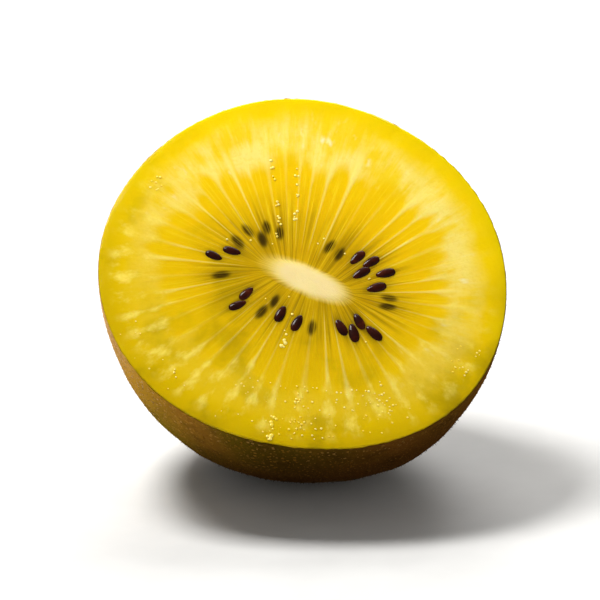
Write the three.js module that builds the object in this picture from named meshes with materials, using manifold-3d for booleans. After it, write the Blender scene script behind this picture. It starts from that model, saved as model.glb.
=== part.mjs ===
// Half of a golden kiwi fruit, cut across its middle and lying on its skin beside the stem end.
// Millimetres, +Z up. The origin is the centre of the small flat spot that the half rests on.
//
// Each piece is shaped with the cut face in the plane z = 0, looking up, and the stem end straight
// below it. Angles run anticlockwise round the cut face from +X. The whole half is then leaned
// forward, towards -Y, and let down until it rests.

import * as THREE from 'three';
import { ParametricGeometry } from 'three/addons/geometries/ParametricGeometry.js';
import { mergeVertices } from 'three/addons/utils/BufferGeometryUtils.js';
import Module from 'manifold-3d';

const degree = Math.PI / 180;

// The fruit
const faceRadius = 26; // half the fruit's width where it is cut
const domeDepth = 32; // from the cut to the stem end
const lean = 41.5 * degree; // the cut face's tilt out of level
const restSpotDepth = 0.65; // how far the skin is pressed flat where it rests
const rimDrop = 0.35; // the cut edge of the skin lies this far below the cut

// The cut isn't quite round: each lobe swells it count times round, by depth, highest at an angle
const outlineLobes = [
  { count: 2, depth: 0.51, at: -51 * degree },
  { count: 3, depth: 0.37, at: -41 * degree },
  { count: 4, depth: 0.12, at: 30 * degree },
  { count: 5, depth: 0.11, at: 20 * degree },
];

// The core, a flat ellipse, a little proud of the flesh
const core = { x: 0.1, y: -1.6, halfLength: 6.5, halfWidth: 2.1, turn: -24 * degree, rise: 0.3 };

// The locules: pockets between thin walls that fan out from the core
const loculeCount = 38;
const loculeDip = 0.35; // how far the flesh between two walls sinks below the cut
const loculeStart = 0.06; // where the pockets begin and end, as a share of the way out
const loculeEnd = 0.68;

// The seeds lie in the locules in short rows round the core. Each row runs from one angle to
// another, at a reach that is a share of the way from core to skin, and seeds in a row step in
// and out by the stagger. Those that a film of flesh still covers stand less proud.
const seed = { length: 2.5, width: 1.3, height: 0.95, sides: 8, rings: 4, taper: 0.3 };
const seedProud = { bare: 0.35, covered: 0.15 };
const seedRows = [
  { from: 2, to: 35, count: 5, reach: 0.19, stagger: -0.04, lies: 'bare' },
  { from: 49, to: 62, count: 2, reach: 0.13, stagger: 0, lies: 'covered' },
  { from: 100, to: 123, count: 4, reach: 0.17, stagger: -0.03, lies: 'covered' },
  { from: 138, to: 138, count: 1, reach: 0.175, stagger: 0, lies: 'covered' },
  { from: 156, to: 156, count: 1, reach: 0.175, stagger: 0, lies: 'bare' },
  { from: 163, to: 163, count: 1, reach: 0.265, stagger: 0, lies: 'bare' },
  { from: 182, to: 182, count: 1, reach: 0.265, stagger: 0, lies: 'covered' },
  { from: 207, to: 214, count: 2, reach: 0.22, stagger: -0.04, lies: 'bare' },
  { from: 231, to: 231, count: 2, reach: 0.165, stagger: -0.045, lies: 'covered' },
  { from: 244, to: 256, count: 2, reach: 0.19, stagger: 0, lies: 'bare' },
  { from: 267, to: 267, count: 1, reach: 0.19, stagger: 0, lies: 'covered' },
  { from: 286, to: 308, count: 4, reach: 0.23, stagger: -0.035, lies: 'bare' },
  { from: 333, to: 344, count: 2, reach: 0.23, stagger: 0, lies: 'covered' },
];
const seedScatter = { angle: 4 * degree, reach: 0.03, turn: 14 * degree, size: 0.08 };
const firstDraw = 643;

// The hollow at the stem end and the dried calyx that sits in it: a thin disc that carries a
// raised rim, a lumpy ring of shrivelled sepals and the stump that the stalk left
const hollow = { depth: 1.3, floorShare: 0.342, lipShare: 0.385 };
const calyxGap = 0.3; // the gap left between calyx and flesh
const calyx = { radius: 8.4, base: 0.45, waves: 0.2 };
const calyxRim = { at: 7.7, width: 0.6, height: 0.8 };
const sepalRing = { at: 4.6, width: 1.6, height: 0.95, sepals: 5, lumps: 11 };
const stump = { width: 1.1, height: 0.6 };

const columns = 3 * loculeCount; // one column on each locule's wall and two in the pocket
const calyxColumns = 60;

const fleshFinish = { color: 0xe0bd12, roughness: 0.3, metalness: 0 };
const calyxFinish = { color: 0x9a6f4c, roughness: 0.9, metalness: 0 };

const wasm = await Module();
wasm.setup();

// A closed geometry as a solid. Its shared corners are merged, and the triangles at its poles,
// which have two corners in one place, are left out.
function solidOf(geometry) {
  geometry.deleteAttribute('normal');
  geometry.deleteAttribute('uv');
  const merged = mergeVertices(geometry);
  const corners = merged.index.array;
  const kept = [];
  for (let i = 0; i < corners.length; i += 3) {
    const [a, b, c] = corners.slice(i, i + 3);
    if (a !== b && b !== c && c !== a) kept.push(a, b, c);
  }
  return new wasm.Manifold(new wasm.Mesh({
    numProp: 3,
    vertProperties: merged.attributes.position.array,
    triVerts: new Uint32Array(kept),
  }));
}

function namedMesh(name, solid, finish) {
  const { vertProperties, triVerts } = solid.getMesh();
  const geometry = new THREE.BufferGeometry();
  geometry.setAttribute('position', new THREE.BufferAttribute(vertProperties, 3));
  geometry.setIndex(new THREE.BufferAttribute(triVerts, 1));
  geometry.computeVertexNormals();
  const mesh = new THREE.Mesh(geometry, new THREE.MeshStandardMaterial(finish));
  mesh.name = name;
  return mesh;
}

// A closed surface from rows of points: pointAt(row, angle) gives the point of each row at each
// angle, and the first and last rows shrink to one point. The rows start at the top, and the
// angle runs clockwise, which turns the faces out.
function closedSurface(rows, columnCount, pointAt) {
  const last = rows.length - 1;
  return new ParametricGeometry((u, v, target) => {
    target.copy(pointAt(rows[Math.round(v * last)], -2 * Math.PI * u));
  }, columnCount, last);
}

const smoothStep = (from, to, x) => THREE.MathUtils.smoothstep(x, from, to);
const bump = x => Math.exp(-x * x);

// The cut's outline: its radius at an angle
function outlineRadius(angle) {
  const swell = outlineLobes.map(lobe => lobe.depth * Math.cos(lobe.count * (angle - lobe.at)));
  return faceRadius + swell.reduce((sum, part) => sum + part, 0);
}

// A point of the core's ellipse, or a share of the way to it from its centre
function corePoint(angle, share) {
  const along = share * core.halfLength * Math.cos(angle - core.turn);
  const across = share * core.halfWidth * Math.sin(angle - core.turn);
  return new THREE.Vector3(
    core.x + along * Math.cos(core.turn) - across * Math.sin(core.turn),
    core.y + along * Math.sin(core.turn) + across * Math.cos(core.turn),
    core.rise * (1 - share ** 6),
  );
}

// A point of the cut face, at a share of the way from the core's edge to the skin. Between the
// walls the surface dips, most in the middle of the locule's length.
function facePoint(angle, reach) {
  const radius = outlineRadius(angle);
  const edge = new THREE.Vector3(radius * Math.cos(angle), radius * Math.sin(angle), 0);
  const point = corePoint(angle, 1).lerp(edge, reach);
  const offWall = (1 - Math.cos(loculeCount * angle)) / 2;
  const along = THREE.MathUtils.clamp((reach - loculeStart) / (loculeEnd - loculeStart), 0, 1);
  point.z = -loculeDip * offWall * Math.sin(Math.PI * along) ** 2;
  return point;
}

// The dome's depth under a share of its radius, an ellipse
const depthAt = share => domeDepth * Math.sqrt(1 - share ** 2);

// A point of the skin: the ellipse under the outline, with a shallow hollow round the stem end
function skinPoint(angle, share) {
  const radius = share * outlineRadius(angle);
  const sink = hollow.depth * (1 - smoothStep(hollow.floorShare, hollow.lipShare, share));
  const z = Math.min(sink - depthAt(share), -rimDrop);
  return new THREE.Vector3(radius * Math.cos(angle), radius * Math.sin(angle), z);
}

function fleshSolid() {
  const turns = [0, 4, 10, 17, 24, 31, 38, 45, 51, 57, 62];
  const rows = [
    ...[0, 0.45, 0.8, 0.95].map(share => ({ at: corePoint, share })),
    ...[0.03, 0.1, 0.18, 0.26, 0.35, 0.44, 0.52, 0.6, 0.68, 0.8, 0.92, 0.985]
      .map(share => ({ at: facePoint, share })),
    ...turns.map(turn => ({ at: skinPoint, share: Math.cos(turn * degree) })),
    ...[hollow.lipShare, 0.38, 0.365, hollow.floorShare, 0.2, 0.08, 0]
      .map(share => ({ at: skinPoint, share })),
  ];
  return solidOf(closedSurface(rows, columns, (row, angle) => row.at(angle, row.share)));
}

// Park and Miller's generator, so that the seeds always fall in the same places
let draw = firstDraw;
function scatter(range) {
  draw = (draw * 16807) % 2147483647;
  return range * (2 * draw / 2147483647 - 1);
}

// One seed: an egg whose narrow end points at the core, lying in the cut face
function seedSolid(row, k) {
  const step = row.count > 1 ? (row.to - row.from) / (row.count - 1) : 0;
  const angle = (row.from + k * step) * degree + scatter(seedScatter.angle);
  const stagger = k % 2 ? -row.stagger : row.stagger;
  const reach = row.reach + stagger + scatter(seedScatter.reach);
  const inner = facePoint(angle, 0);
  const outward = facePoint(angle, 1).sub(inner);
  const turn = Math.atan2(outward.y, outward.x) + scatter(seedScatter.turn);
  const size = 1 + scatter(seedScatter.size);

  const egg = new THREE.SphereGeometry(0.5, seed.sides, seed.rings);
  egg.rotateZ(-Math.PI / 2); // its poles point along X
  const corners = egg.attributes.position;
  for (let i = 0; i < corners.count; i += 1) {
    const narrowing = 1 + seed.taper * corners.getX(i);
    corners.setXYZ(i, corners.getX(i), corners.getY(i) * narrowing, corners.getZ(i));
  }
  egg.scale(size * seed.length, size * seed.width, size * seed.height);
  egg.rotateZ(turn);
  const proud = seedProud[row.lies] - size * seed.height / 2;
  egg.translate(inner.x + reach * outward.x, inner.y + reach * outward.y, proud);
  return solidOf(egg);
}

// The half rests where a level plane touches its leaned skin from below. Of each half ellipse
// under the outline, the lowest point lies at the reach below the middle of the cut.
function restPoint() {
  const reachAt = angle => (
    Math.hypot(outlineRadius(angle) * Math.sin(angle) * Math.sin(lean), domeDepth * Math.cos(lean))
  );
  const angles = Array.from({ length: 91 }, (_, i) => (i - 135) * degree);
  const angle = angles.reduce((best, other) => (reachAt(other) > reachAt(best) ? other : best));
  const radius = outlineRadius(angle);
  const reach = reachAt(angle);
  const share = -radius * Math.sin(angle) * Math.sin(lean) / reach;
  return {
    x: share * radius * Math.cos(angle),
    y: share * radius * Math.sin(angle),
    z: -depthAt(share),
    below: reach - restSpotDepth,
  };
}

// The seat leans the half and sets the middle of its flat spot on the origin
function makeSeat() {
  const rest = restPoint();
  const seat = new THREE.Group();
  seat.rotation.x = lean;
  seat.position.set(-rest.x, rest.z * Math.sin(lean) - rest.y * Math.cos(lean), rest.below);
  seat.updateMatrixWorld();
  return seat;
}

// What lies below the surface that the half stands on, seen from inside the leaned seat
function groundSolid(seat) {
  const size = 2 * domeDepth;
  const ground = new THREE.BoxGeometry(size, size, size);
  ground.translate(0, 0, -size / 2);
  ground.applyMatrix4(seat.matrixWorld.clone().invert());
  return solidOf(ground);
}

function makeFruitHalf(seat) {
  let half = fleshSolid();
  for (const row of seedRows) {
    for (let k = 0; k < row.count; k += 1) half = half.add(seedSolid(row, k));
  }
  half = half.subtract(groundSolid(seat));
  return namedMesh('fruit_half', half, fleshFinish);
}

// The calyx's thickness. The lumps fade out over the last millimetre before the centre.
function calyxThickness(angle, radius) {
  const folds = 0.3 * Math.cos(sepalRing.sepals * angle) + 0.3 * Math.sin(sepalRing.lumps * angle);
  const lumps = 1 + Math.min(radius, 1) * folds;
  return calyx.base
    + calyxRim.height * bump((radius - calyxRim.at) / calyxRim.width)
    + sepalRing.height * lumps * bump((radius - sepalRing.at) / sepalRing.width)
    + stump.height * bump(radius / stump.width);
}

function makeDriedCalyx() {
  const floorAt = share => hollow.depth - calyxGap - depthAt(share);
  const point = (row, angle) => {
    const wave = calyx.waves * Math.cos(sepalRing.sepals * angle);
    const radius = row.radius * (1 + wave / calyx.radius);
    const thickness = row.full * calyxThickness(angle, radius);
    const z = floorAt(radius / outlineRadius(angle)) - thickness;
    return new THREE.Vector3(radius * Math.cos(angle), radius * Math.sin(angle), z);
  };
  const rows = [
    ...[0, 3, 6, calyx.radius].map(radius => ({ radius, full: 0 })),
    { radius: calyx.radius, full: 0.7 },
    ...[8.1, 7.7, 7.3, 6.8, 6.1, 5.4, 4.6, 3.8, 3.1, 2.4, 1.7, 1, 0.5, 0]
      .map(radius => ({ radius, full: 1 })),
  ];
  return namedMesh('dried_calyx', solidOf(closedSurface(rows, calyxColumns, point)), calyxFinish);
}

const seat = makeSeat();
seat.add(makeFruitHalf(seat), makeDriedCalyx());

const kiwiHalf = new THREE.Group();
kiwiHalf.add(seat);

export default kiwiHalf;
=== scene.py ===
# Half of a golden kiwi fruit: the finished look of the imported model.
# The sizes in the dictionaries are millimetres and degrees, and Blender's own units are metres.
# Each piece is shaped with its cut face level, in the plane z = 0, and the stem end straight below.
# toSeat then leans it forward and lowers it on to its flat spot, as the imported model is.
import math

import bpy
import numpy as np
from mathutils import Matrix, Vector


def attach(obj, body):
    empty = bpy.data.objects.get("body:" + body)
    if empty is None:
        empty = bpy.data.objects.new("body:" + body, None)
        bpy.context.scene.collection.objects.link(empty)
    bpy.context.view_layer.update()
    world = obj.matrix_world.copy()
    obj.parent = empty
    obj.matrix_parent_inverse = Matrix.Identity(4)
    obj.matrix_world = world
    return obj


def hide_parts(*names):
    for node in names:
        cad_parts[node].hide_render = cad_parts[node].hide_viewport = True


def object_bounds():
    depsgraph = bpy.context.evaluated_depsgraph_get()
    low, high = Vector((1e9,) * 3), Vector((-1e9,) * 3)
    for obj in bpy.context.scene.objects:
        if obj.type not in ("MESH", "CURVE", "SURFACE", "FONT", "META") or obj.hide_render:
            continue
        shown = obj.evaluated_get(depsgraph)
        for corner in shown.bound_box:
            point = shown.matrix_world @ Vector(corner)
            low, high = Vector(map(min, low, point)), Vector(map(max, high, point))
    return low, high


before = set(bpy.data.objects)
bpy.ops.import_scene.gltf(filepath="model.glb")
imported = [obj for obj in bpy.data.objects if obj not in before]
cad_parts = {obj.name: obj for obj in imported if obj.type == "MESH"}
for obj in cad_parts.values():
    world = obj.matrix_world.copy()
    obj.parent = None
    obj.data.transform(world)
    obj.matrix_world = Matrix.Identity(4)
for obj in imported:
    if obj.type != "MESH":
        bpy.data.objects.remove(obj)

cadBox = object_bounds()
scene = bpy.context.scene
print("frame loaded:", sorted(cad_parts))

fruit = dict(
    faceRadius=26.0,  # half the width where the fruit is cut
    domeDepth=32.0,  # from the cut to the stem end
    lean=41.5,  # the cut face's tilt out of level
    restSpot=0.65,  # how far the skin is pressed flat where it rests
    lobes=((2, 0.51, -51), (3, 0.37, -41), (4, 0.12, 30), (5, 0.11, 20)),  # times round, swelling, angle
    coreX=0.1, coreY=-1.6, coreLong=6.5, coreWide=2.1, coreTurn=-24.0, coreRise=0.3,
    hollowDepth=1.3, hollowFloor=0.342, hollowLip=0.385,  # the dip at the stem end, in shares of the radius
)
lean = math.radians(fruit["lean"])


def linearColour(hexCode):
    # sRGB hex to linear: c / 12.92 up to 0.04045, and ((c + 0.055) / 1.055) to the power 2.4 above
    shares = [int(hexCode[i:i + 2], 16) / 255 for i in (1, 3, 5)]
    return (*[c / 12.92 if c <= 0.04045 else ((c + 0.055) / 1.055) ** 2.4 for c in shares], 1.0)


def smoothStep(low, high, x):
    # 0 up to low, 1 from high on, and 3tt - 2ttt between
    t = np.clip((x - low) / (high - low), 0, 1)
    return t * t * (3 - 2 * t)


def bump(x):
    # a bell: e to the minus x squared
    return np.exp(-np.square(x))


def unit(vectors):
    # each vector divided by its length
    return vectors / np.linalg.norm(vectors, axis=-1, keepdims=True)


def onceRound(count):
    # angles in even steps, without the last one, which would be the first again
    return np.linspace(0, 2 * math.pi, count, endpoint=False)


def polar(radius, angle, height):
    # the points at these radii, angles and heights
    return np.stack([radius * np.cos(angle), radius * np.sin(angle), height], -1)


def ripple(points, size, seed, waves=16):
    # smooth noise of about -1 to 1: plane waves in seeded directions, each about size long, added up
    rng = np.random.default_rng(seed)
    directions = unit(rng.normal(size=(waves, 3)))
    counts = 2 * math.pi / (size * rng.uniform(0.7, 1.6, waves))
    phases = rng.uniform(0, 2 * math.pi, waves)
    return 0.6 * np.cos(points @ (directions * counts[:, None]).T + phases).sum(-1) / math.sqrt(waves / 2)


def rippled(points, swells):
    # ripples of several sizes added up, each given as its size, its seed and its height
    return sum(height * ripple(points, size, seed) for size, seed, height in swells)


def outlineRadius(angle):
    # the cut's radius: the mean radius and a cosine for each lobe
    radius = np.full_like(angle, fruit["faceRadius"])
    for times, swelling, at in fruit["lobes"]:
        radius = radius + swelling * np.cos(times * (angle - math.radians(at)))
    return radius


def depthAt(share):
    # the dome is half an ellipse: its depth times the root of 1 - share squared
    return fruit["domeDepth"] * np.sqrt(np.clip(1 - np.square(share), 0, 1))


def corePoint(angle, share):
    # a share of the way out to the core's slanting ellipse, which stands a little proud
    turn = math.radians(fruit["coreTurn"])
    along = share * fruit["coreLong"] * np.cos(angle - turn)
    across = share * fruit["coreWide"] * np.sin(angle - turn)
    x = fruit["coreX"] + along * math.cos(turn) - across * math.sin(turn)
    y = fruit["coreY"] + along * math.sin(turn) + across * math.cos(turn)
    return np.stack(np.broadcast_arrays(x, y, fruit["coreRise"] * (1 - share ** 6)), axis=-1)


def facePoint(angle, reach, edge=0.0):
    # reach is a share of the straight way from the core's edge to a line this far inside the outline
    radius = outlineRadius(angle) - edge
    rim = polar(radius, angle, 0 * radius)
    return corePoint(angle, np.ones_like(angle)) * (1 - reach[..., None]) + rim * reach[..., None]


def domePoint(angle, share, sunk, lift=0.0):
    # the half ellipsoid under the outline, sunk inside the skin; the hollow at the stem end lifts it
    radius = share * (outlineRadius(angle) - sunk)
    hollow = fruit["hollowDepth"] * (1 - smoothStep(fruit["hollowFloor"], fruit["hollowLip"], share))
    height = np.minimum(lift + hollow - depthAt(share) + sunk * np.sqrt(np.clip(1 - share ** 2, 0, 1)), lift)
    return polar(radius, angle, height)


def restPoint():
    # the leaned ellipse's lowest point, on the angle whose half ellipse reaches furthest down
    angles = np.radians(np.arange(-135, -44))
    forward = outlineRadius(angles) * np.sin(angles) * math.sin(lean)
    reaches = np.hypot(forward, fruit["domeDepth"] * math.cos(lean))
    angle, reach = angles[reaches.argmax()], reaches.max()
    radius = outlineRadius(angle)
    share = -radius * math.sin(angle) * math.sin(lean) / reach
    return share * radius * math.cos(angle), share * radius * math.sin(angle), -depthAt(share), reach


restX, restY, restZ, restReach = restPoint()


def toSeat(points, floor=0.0):
    # leaned about X, moved so that the flat spot's middle is the origin, and kept above the floor
    x, y, z = np.moveaxis(points, -1, 0)
    seated = (
        x - restX,
        (y - restY) * math.cos(lean) - (z - restZ) * math.sin(lean),
        np.maximum(y * math.sin(lean) + z * math.cos(lean) + restReach - fruit["restSpot"], floor),
    )
    return np.stack(seated, axis=-1) / 1000


def closedRings(rings):
    # a closed surface through rings of points, each end drawn in to its ring's middle
    rows, columns = rings.shape[:2]
    vertices = np.concatenate([rings.reshape(-1, 3), rings[0].mean(0)[None], rings[-1].mean(0)[None]])
    row = np.arange(rows - 1)[:, None] * columns
    around = np.arange(columns)
    onward = (around + 1) % columns
    quads = np.stack([row + around, row + onward, row + columns + onward, row + columns + around], -1)
    first, last = np.full(columns, rows * columns), np.full(columns, rows * columns + 1)
    start = np.stack([first, onward, around], -1)
    end = np.stack([last, (rows - 1) * columns + around, (rows - 1) * columns + onward], -1)
    return vertices, [quads.reshape(-1, 4), np.concatenate([start, end])]


def ringMarks(values):
    # a mark for every vertex of closedRings: its own on the rings, and the ring's mean at the two ends
    flat = values.reshape(-1, *values.shape[2:])
    return np.concatenate([flat, values[0].mean(0)[None], values[-1].mean(0)[None]])


def joinShells(shells):
    # many closed surfaces as one: each one's faces count on from the vertices that came before
    vertices, groups = [], [[], []]
    for own, faces in shells:
        for group, corners in zip(groups, faces):
            group.append(corners + sum(map(len, vertices)))
        vertices.append(own)
    return np.concatenate(vertices), [np.concatenate(group) for group in groups]


def surfacePiece(name, vertices, faces, material, marks=None, wound=None):
    # a smooth mesh that rides on the half. Its signed volume, a sixth of the sum of each face's triple
    # products, says if its faces have to be turned outwards. wound gives a UV map: two values for each
    # vertex, and the count at which the first of them is back at 0.
    volume = 0
    for corners in (vertices[group] for group in faces):
        for i in range(1, corners.shape[1] - 1):
            volume += np.einsum("ij,ij->", corners[:, 0], np.cross(corners[:, i], corners[:, i + 1])) / 6
    faces = [group[:, ::-1] if volume < 0 else group for group in faces]
    mesh = bpy.data.meshes.new(name)
    mesh.from_pydata(vertices, [], [face for group in faces for face in group.tolist()])
    for key, values in (marks or {}).items():
        vector = values.ndim == 2
        attribute = mesh.attributes.new(key, "FLOAT_VECTOR" if vector else "FLOAT", "POINT")
        attribute.data.foreach_set("vector" if vector else "value", values.astype(np.float32).ravel())
    if wound is not None:
        around, count = wound
        unwound = []
        for group in faces:
            own = around[group].copy()
            torn = np.ptp(own[..., 0], axis=1, keepdims=True) > count / 2
            own[..., 0] += count * (torn & (own[..., 0] < count / 2))
            unwound.append(own.reshape(-1, 2))
        layer = mesh.uv_layers.new(name="wound")
        layer.data.foreach_set("uv", np.concatenate(unwound).astype(np.float32).ravel())
    mesh.shade_smooth()
    mesh.materials.append(material)
    piece = bpy.data.objects.new(name, mesh)
    scene.collection.objects.link(piece)
    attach(piece, "root")
    return piece


def addNode(tree, kind, sockets=None, stops=(), **settings):
    # one node: its settings, then a value, a hex colour or another node's output for each socket,
    # and for a colour ramp its (place, hex colour) stops. It returns the node's outputs.
    node = tree.nodes.new("ShaderNode" + kind)
    for key, value in settings.items():
        setattr(node, key, value)
    for key, value in (sockets or {}).items():
        if isinstance(value, bpy.types.NodeSocket):
            tree.links.new(value, node.inputs[key])
        else:
            node.inputs[key].default_value = linearColour(value) if isinstance(value, str) else value
    if stops:
        elements = node.color_ramp.elements
        elements.remove(elements[1])
        for place, colour in stops[1:]:
            elements.new(place).color = linearColour(colour)
        elements[0].position = stops[0][0]
        elements[0].color = linearColour(stops[0][1])
    return node.outputs


def newMaterial(name):
    # an empty material, its node tree, and the Object coordinates that its patterns follow
    material = bpy.data.materials.new(name)
    material.use_nodes = True
    tree = material.node_tree
    tree.nodes.clear()
    return material, tree, addNode(tree, "TexCoord")["Object"]


def perMillimetre(size):
    # a texture's scale for a feature of this size in millimetres, on coordinates in metres
    return 1000 / size


# Sockets with the same names are given by number. MapRange: 0 value, 1 from, 2 to, 3 least, 4 most.
# Math: 0, 1 and 2. Mix: 0 share, 6 and 7 the colours without it and in it.
soft = dict(interpolation_type="SMOOTHSTEP")  # a MapRange that eases in and out
timesPlus = dict(operation="MULTIPLY_ADD")  # a Math node: 0 times 1, plus 2

# the camera stands this far from the cut's middle; width is the view's width at that distance
view = dict(azimuth=-3.7, elevation=17.0, distance=320.0, width=76.0, sensor=36.0)


def addCamera():
    # back along azimuth and elevation from the cut's middle, and aimed at the object's middle
    around, up = math.radians(view["azimuth"]), math.radians(view["elevation"])
    back = Vector((math.sin(around) * math.cos(up), -math.cos(around) * math.cos(up), math.sin(up)))
    data = bpy.data.cameras.new("camera")
    data.sensor_width = view["sensor"]
    data.lens = view["sensor"] * view["distance"] / view["width"]
    data.clip_start = 0.01
    camera = bpy.data.objects.new("camera", data)
    camera.location = Vector(toSeat(np.zeros(3))) + back * view["distance"] / 1000
    aim = (cadBox[0] + cadBox[1]) / 2 - camera.location
    camera.rotation_euler = aim.to_track_quat("-Z", "Y").to_euler()
    scene.collection.objects.link(camera)
    scene.camera = camera


softboxes = (
    dict(name="keyLight", at=(-130, 60, 330), aim=(0, 0, 20), size=120, watts=1.35, colour="#FFFFFF"),
    dict(name="backLight", at=(90, 460, 420), aim=(0, 100, 0), size=380, watts=2.6, colour="#FFFFFF"),
    dict(name="fillLight", at=(380, -300, 150), aim=(0, 0, 20), size=260, watts=0.12, colour="#FFF8F0"),
)
studio = dict(strength=1.0, tones=(
    (0.0, "#8A8987"), (0.06, "#A5A4A2"), (0.16, "#B7B6B4"), (0.5, "#898988"), (1.0, "#787878"),
))


def addLights():
    # square softboxes, each looking at its aim, and a room whose pale walls darken upwards to its ceiling
    for box in softboxes:
        data = bpy.data.lights.new(box["name"], "AREA")
        data.size = box["size"] / 1000
        data.energy = box["watts"]
        data.color = linearColour(box["colour"])[:3]
        light = bpy.data.objects.new(box["name"], data)
        light.location = Vector(box["at"]) / 1000
        aim = Vector(box["aim"]) / 1000 - light.location
        light.rotation_euler = aim.to_track_quat("-Z", "Y").to_euler()
        scene.collection.objects.link(light)
    world = bpy.data.worlds.new("studio")
    world.use_nodes = True
    tree = world.node_tree
    tree.nodes.clear()
    upwards = addNode(tree, "SeparateXYZ", {"Vector": addNode(tree, "TexCoord")["Generated"]})["Z"]
    tone = addNode(tree, "ValToRGB", {"Fac": upwards}, studio["tones"])["Color"]
    room = addNode(tree, "Background", {"Color": tone, "Strength": studio["strength"]})
    addNode(tree, "OutputWorld", {"Surface": room["Background"]})
    scene.world = world
    scene.view_settings.view_transform = "Standard"


def addFloor():
    # a matt sheet of pale paper board. Its pattern's coordinates count the sheet's width as one.
    side = 1.5
    material, tree = newMaterial("mattPaperBoard")[:2]
    grain = addNode(tree, "TexNoise", {"Scale": 2 * side * perMillimetre(9), "Detail": 3.0})["Fac"]
    colour = addNode(tree, "ValToRGB", {"Fac": grain}, ((0.3, "#E2E1DE"), (0.7, "#E8E7E4")))["Color"]
    shader = addNode(tree, "BsdfPrincipled", {
        "Base Color": colour, "Roughness": 0.9, "Specular IOR Level": 0.2,
    })
    addNode(tree, "OutputMaterial", {"Surface": shader["BSDF"]})
    corners = [(-side, -side, 0), (side, -side, 0), (side, side, 0), (-side, side, 0)]
    mesh = bpy.data.meshes.new("floor")
    mesh.from_pydata(corners, [], [(0, 1, 2, 3)])
    mesh.materials.append(material)
    floor = bpy.data.objects.new("floor", mesh)
    scene.collection.objects.link(floor)


addCamera()
addLights()
addFloor()
print("camera, lights and floor made")

seedShape = dict(
    length=2.6, width=1.24, height=0.7, taper=0.2, bluntness=0.85, rings=22, columns=20,
    proud=(0.13, 0.24), proudSeed=5,  # how far a bare one stands out of the cut
)
seedScatter = dict(angle=4.0, reach=0.03, turn=14.0, size=0.08)
seedDraws = dict(start=643, times=16807, modulus=2147483647)  # Park and Miller's
seedRows = (  # from angle, to angle, count, reach from core to skin, stagger in and out, bare of flesh
    (2, 35, 5, 0.19, -0.04, True), (49, 62, 2, 0.13, 0, False), (100, 123, 4, 0.17, -0.03, False),
    (138, 138, 1, 0.175, 0, False), (156, 156, 1, 0.175, 0, True), (163, 163, 1, 0.265, 0, True),
    (182, 182, 1, 0.265, 0, False), (207, 214, 2, 0.22, -0.04, True), (231, 231, 2, 0.165, -0.045, False),
    (244, 256, 2, 0.19, 0, True), (267, 267, 1, 0.19, 0, False), (286, 308, 4, 0.23, -0.035, True),
    (333, 344, 2, 0.23, 0, False),
)


def placeSeeds():
    # each row's seeds in even steps, each moved, turned and resized a little, by draws from -1 to 1
    # in the order of seedScatter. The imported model's seeds lie in the same places.
    draw = seedDraws["start"]
    placed = []
    for first, last, count, reach, stagger, bare in seedRows:
        for k in range(count):
            shifts = []
            for spread in seedScatter.values():
                draw = draw * seedDraws["times"] % seedDraws["modulus"]
                shifts.append(spread * (2 * draw / seedDraws["modulus"] - 1))
            angle = math.radians(first + k * (last - first) / max(count - 1, 1) + shifts[0])
            out = reach + (-stagger if k % 2 else stagger) + shifts[1]
            inner, outer = facePoint(np.array([angle, angle]), np.array([0.0, 1.0]))
            x, y = (inner + out * (outer - inner))[:2]
            turn = math.atan2(outer[1] - inner[1], outer[0] - inner[0]) + math.radians(shifts[2])
            placed.append((x, y, turn, 1 + shifts[3], bare))
    return np.array(placed)


seeds = placeSeeds()
bareSeeds = seeds[:, 4] > 0


def seedDistances(points, grow=1.0):
    # how far each point is from each seed's middle, in the seed's own half lengths and half widths
    x, y, turn, size = (seeds[:, i] for i in range(4))
    dx, dy = points[..., 0, None] - x, points[..., 1, None] - y
    along = (dx * np.cos(turn) + dy * np.sin(turn)) / (grow * size * seedShape["length"] / 2)
    across = (dy * np.cos(turn) - dx * np.sin(turn)) / (size * seedShape["width"] / 2)
    return np.sqrt(along ** 2 + across ** 2)


def seedMaterial():
    # a wet seed coat: netted, nearly black with a red-brown cast, and its film of juice gives small glints
    material, tree, place = newMaterial("wetSeedCoat")
    net = addNode(tree, "TexVoronoi", {"Vector": place, "Scale": perMillimetre(0.22)})["Distance"]
    tint = addNode(tree, "TexNoise", {"Vector": place, "Scale": perMillimetre(1.6), "Detail": 3.0})["Fac"]
    colour = addNode(tree, "ValToRGB", {"Fac": tint}, (
        (0.35, "#220702"), (0.55, "#360D03"), (0.75, "#542009"),
    ))["Color"]
    relief = addNode(tree, "Bump", {"Height": net, "Strength": 0.3, "Distance": 0.00004})["Normal"]
    shader = addNode(tree, "BsdfPrincipled", {
        "Base Color": colour, "Normal": relief, "Roughness": 0.5, "IOR": 1.36, "Specular IOR Level": 0.04,
        "Coat Weight": 0.38, "Coat Roughness": 0.03, "Coat IOR": 1.34,
    })
    addNode(tree, "OutputMaterial", {"Surface": shader["BSDF"]})
    return material


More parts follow.
